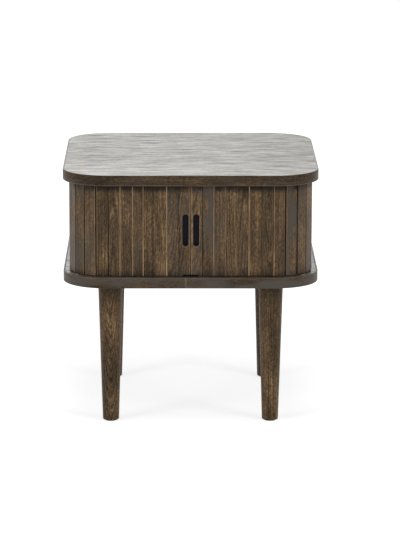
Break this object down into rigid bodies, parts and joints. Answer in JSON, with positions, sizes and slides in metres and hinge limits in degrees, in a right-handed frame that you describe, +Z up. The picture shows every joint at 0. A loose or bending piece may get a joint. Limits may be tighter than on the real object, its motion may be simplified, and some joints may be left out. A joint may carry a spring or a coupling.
{
  "type": "side table",
  "caption": "Square side table with rounded corners on tapered turned legs; a low cupboard between its boards closes with slatted tambour doors that slide round the corners.",
  "frame": {"origin": "on the floor, under the middle of the square top", "axes": "+Z up, the doors face -Y, +X to the right for someone who faces the doors"},
  "size_m": [0.45, 0.45, 0.454],
  "materials": {
    "board_veneer": "smoked oak veneer under matt lacquer, grain along X",
    "lipping_oak": "smoked oak solid lipping, matt, lighter at the arrises",
    "slat_oak": "smoked oak slats, vertical grain, each in its own shade",
    "panel_oak": "smoked oak, coopered staves, matt",
    "leg_oak": "smoked solid oak, turned, matt",
    "beech_dowel": "plain fluted beech",
    "black_liner": "moulded black plastic",
    "black_stop": "black coated flat bar",
    "zinc_steel": "zinc plated",
    "pin_steel": "blackened drawn wire",
    "door_canvas": "dark cotton canvas",
    "glide_nylon": "dark nylon"
  },
  "bodies": {
    "frame": {"back_panel": "panel_oak", "bottom_board": "board_veneer", "bottom_dowels": "beech_dowel", "bottom_lipping": "lipping_oak", "centre_stop": "black_stop", "centre_stop_screws": "zinc_steel", "foot_glides": "glide_nylon", "front_left_leg": "leg_oak", "front_right_leg": "leg_oak", "hanger_bolts": "zinc_steel", "left_rear_corner": "panel_oak", "left_side_panel": "panel_oak", "rear_left_leg": "leg_oak", "rear_right_leg": "leg_oak", "right_rear_corner": "panel_oak", "right_side_panel": "panel_oak", "threaded_inserts": "zinc_steel", "top_board": "board_veneer", "top_dowels": "beech_dowel", "top_lipping": "lipping_oak"},
    "left_door_lead": {"left_slat_01": "slat_oak", "left_handle_cup": "black_liner", "left_canvas": "door_canvas", "left_guide_pins": "pin_steel"},
    "left_door_slat_02": {"left_slat_02": "slat_oak"},
    "left_door_slat_03": {"left_slat_03": "slat_oak"},
    "left_door_slat_04": {"left_slat_04": "slat_oak"},
    "left_door_slat_05": {"left_slat_05": "slat_oak"},
    "left_door_slat_06": {"left_slat_06": "slat_oak"},
    "left_door_slat_07": {"left_slat_07": "slat_oak"},
    "left_door_slat_08": {"left_slat_08": "slat_oak"},
    "left_door_slat_09": {"left_slat_09": "slat_oak"},
    "left_door_slat_10": {"left_slat_10": "slat_oak"},
    "left_door_slat_11": {"left_slat_11": "slat_oak"},
    "left_door_slat_12": {"left_slat_12": "slat_oak"},
    "left_door_tail": {"left_slat_13": "slat_oak", "left_slat_14": "slat_oak"},
    "right_door_lead": {"right_slat_01": "slat_oak", "right_handle_cup": "black_liner", "right_canvas": "door_canvas", "right_guide_pins": "pin_steel"},
    "right_door_slat_02": {"right_slat_02": "slat_oak"},
    "right_door_slat_03": {"right_slat_03": "slat_oak"},
    "right_door_slat_04": {"right_slat_04": "slat_oak"},
    "right_door_slat_05": {"right_slat_05": "slat_oak"},
    "right_door_slat_06": {"right_slat_06": "slat_oak"},
    "right_door_slat_07": {"right_slat_07": "slat_oak"},
    "right_door_slat_08": {"right_slat_08": "slat_oak"},
    "right_door_slat_09": {"right_slat_09": "slat_oak"},
    "right_door_slat_10": {"right_slat_10": "slat_oak"},
    "right_door_slat_11": {"right_slat_11": "slat_oak"},
    "right_door_slat_12": {"right_slat_12": "slat_oak"},
    "right_door_tail": {"right_slat_13": "slat_oak", "right_slat_14": "slat_oak"}
  },
  "joints": [
    {"name": "left_door_slide", "type": "slide", "parent": "frame", "child": "left_door_lead", "axis": [-1, 0, 0], "range_m": [0, 0.123], "deforming": ["left_canvas", "left_guide_pins"]},
    {"name": "left_slat_02_turn", "type": "hinge", "parent": "frame", "child": "left_door_slat_02", "pos_m": [-0.08895, 0.87324, 0.3538], "axis": [0, 0, -1], "range_deg": [0, 6.51]},
    {"name": "left_slat_03_turn", "type": "hinge", "parent": "frame", "child": "left_door_slat_03", "pos_m": [-0.0992, 0.06118, 0.3538], "axis": [0, 0, -1], "range_deg": [0, 25.86]},
    {"name": "left_slat_04_turn", "type": "hinge", "parent": "frame", "child": "left_door_slat_04", "pos_m": [-0.10945, -0.05682, 0.3538], "axis": [0, 0, -1], "range_deg": [0, 45.21]},
    {"name": "left_slat_05_turn", "type": "hinge", "parent": "frame", "child": "left_door_slat_05", "pos_m": [-0.1197, -0.10379, 0.3538], "axis": [0, 0, -1], "range_deg": [0, 64.56]},
    {"name": "left_slat_06_turn", "type": "hinge", "parent": "frame", "child": "left_door_slat_06", "pos_m": [-0.12995, -0.12804, 0.3538], "axis": [0, 0, -1], "range_deg": [0, 83.91]},
    {"name": "left_slat_07_turn", "type": "hinge", "parent": "frame", "child": "left_door_slat_07", "pos_m": [-0.13317, -0.13317, 0.3538], "axis": [0, 0, -1], "range_deg": [0, 90]},
    {"name": "left_slat_08_turn", "type": "hinge", "parent": "frame", "child": "left_door_slat_08", "pos_m": [-0.12764, -0.12972, 0.3538], "axis": [0, 0, -1], "range_deg": [0, 83.49]},
    {"name": "left_slat_09_turn", "type": "hinge", "parent": "frame", "child": "left_door_slat_09", "pos_m": [-0.10307, -0.11947, 0.3538], "axis": [0, 0, -1], "range_deg": [0, 64.14]},
    {"name": "left_slat_10_turn", "type": "hinge", "parent": "frame", "child": "left_door_slat_10", "pos_m": [-0.05532, -0.10922, 0.3538], "axis": [0, 0, -1], "range_deg": [0, 44.79]},
    {"name": "left_slat_11_turn", "type": "hinge", "parent": "frame", "child": "left_door_slat_11", "pos_m": [0.0658, -0.09897, 0.3538], "axis": [0, 0, -1], "range_deg": [0, 25.44]},
    {"name": "left_slat_12_turn", "type": "hinge", "parent": "frame", "child": "left_door_slat_12", "pos_m": [0.94928, -0.08872, 0.3538], "axis": [0, 0, -1], "range_deg": [0, 6.09]},
    {"name": "left_door_tail_slide", "type": "slide", "parent": "frame", "child": "left_door_tail", "axis": [0, 1, 0], "range_m": [0, 0.123]},
    {"name": "right_door_slide", "type": "slide", "parent": "frame", "child": "right_door_lead", "axis": [1, 0, 0], "range_m": [0, 0.123], "deforming": ["right_canvas", "right_guide_pins"]},
    {"name": "right_slat_02_turn", "type": "hinge", "parent": "frame", "child": "right_door_slat_02", "pos_m": [0.08895, 0.87324, 0.3538], "axis": [0, 0, 1], "range_deg": [0, 6.51]},
    {"name": "right_slat_03_turn", "type": "hinge", "parent": "frame", "child": "right_door_slat_03", "pos_m": [0.0992, 0.06118, 0.3538], "axis": [0, 0, 1], "range_deg": [0, 25.86]},
    {"name": "right_slat_04_turn", "type": "hinge", "parent": "frame", "child": "right_door_slat_04", "pos_m": [0.10945, -0.05682, 0.3538], "axis": [0, 0, 1], "range_deg": [0, 45.21]},
    {"name": "right_slat_05_turn", "type": "hinge", "parent": "frame", "child": "right_door_slat_05", "pos_m": [0.1197, -0.10379, 0.3538], "axis": [0, 0, 1], "range_deg": [0, 64.56]},
    {"name": "right_slat_06_turn", "type": "hinge", "parent": "frame", "child": "right_door_slat_06", "pos_m": [0.12995, -0.12804, 0.3538], "axis": [0, 0, 1], "range_deg": [0, 83.91]},
    {"name": "right_slat_07_turn", "type": "hinge", "parent": "frame", "child": "right_door_slat_07", "pos_m": [0.13317, -0.13317, 0.3538], "axis": [0, 0, 1], "range_deg": [0, 90]},
    {"name": "right_slat_08_turn", "type": "hinge", "parent": "frame", "child": "right_door_slat_08", "pos_m": [0.12764, -0.12972, 0.3538], "axis": [0, 0, 1], "range_deg": [0, 83.49]},
    {"name": "right_slat_09_turn", "type": "hinge", "parent": "frame", "child": "right_door_slat_09", "pos_m": [0.10307, -0.11947, 0.3538], "axis": [0, 0, 1], "range_deg": [0, 64.14]},
    {"name": "right_slat_10_turn", "type": "hinge", "parent": "frame", "child": "right_door_slat_10", "pos_m": [0.05532, -0.10922, 0.3538], "axis": [0, 0, 1], "range_deg": [0, 44.79]},
    {"name": "right_slat_11_turn", "type": "hinge", "parent": "frame", "child": "right_door_slat_11", "pos_m": [-0.0658, -0.09897, 0.3538], "axis": [0, 0, 1], "range_deg": [0, 25.44]},
    {"name": "right_slat_12_turn", "type": "hinge", "parent": "frame", "child": "right_door_slat_12", "pos_m": [-0.94928, -0.08872, 0.3538], "axis": [0, 0, 1], "range_deg": [0, 6.09]},
    {"name": "right_door_tail_slide", "type": "slide", "parent": "frame", "child": "right_door_tail", "axis": [0, 1, 0], "range_m": [0, 0.123]}
  ],
  "couplings": [
    {"joint": "left_slat_02_turn", "follows": "left_door_slide", "rad_per_m": 0.92418},
    {"joint": "left_slat_03_turn", "follows": "left_door_slide", "rad_per_m": 3.6699},
    {"joint": "left_slat_04_turn", "follows": "left_door_slide", "rad_per_m": 6.4157},
    {"joint": "left_slat_05_turn", "follows": "left_door_slide", "rad_per_m": 9.1614},
    {"joint": "left_slat_06_turn", "follows": "left_door_slide", "rad_per_m": 11.907},
    {"joint": "left_slat_07_turn", "follows": "left_door_slide", "rad_per_m": 12.771},
    {"joint": "left_slat_08_turn", "follows": "left_door_slide", "rad_per_m": 11.847},
    {"joint": "left_slat_09_turn", "follows": "left_door_slide", "rad_per_m": 9.1008},
    {"joint": "left_slat_10_turn", "follows": "left_door_slide", "rad_per_m": 6.355},
    {"joint": "left_slat_11_turn", "follows": "left_door_slide", "rad_per_m": 3.6093},
    {"joint": "left_slat_12_turn", "follows": "left_door_slide", "rad_per_m": 0.86355},
    {"joint": "left_door_tail_slide", "follows": "left_door_slide", "ratio": 1},
    {"joint": "right_slat_02_turn", "follows": "right_door_slide", "rad_per_m": 0.92418},
    {"joint": "right_slat_03_turn", "follows": "right_door_slide", "rad_per_m": 3.6699},
    {"joint": "right_slat_04_turn", "follows": "right_door_slide", "rad_per_m": 6.4157},
    {"joint": "right_slat_05_turn", "follows": "right_door_slide", "rad_per_m": 9.1614},
    {"joint": "right_slat_06_turn", "follows": "right_door_slide", "rad_per_m": 11.907},
    {"joint": "right_slat_07_turn", "follows": "right_door_slide", "rad_per_m": 12.771},
    {"joint": "right_slat_08_turn", "follows": "right_door_slide", "rad_per_m": 11.847},
    {"joint": "right_slat_09_turn", "follows": "right_door_slide", "rad_per_m": 9.1008},
    {"joint": "right_slat_10_turn", "follows": "right_door_slide", "rad_per_m": 6.355},
    {"joint": "right_slat_11_turn", "follows": "right_door_slide", "rad_per_m": 3.6093},
    {"joint": "right_slat_12_turn", "follows": "right_door_slide", "rad_per_m": 0.86355},
    {"joint": "right_door_tail_slide", "follows": "right_door_slide", "ratio": 1}
  ]
}
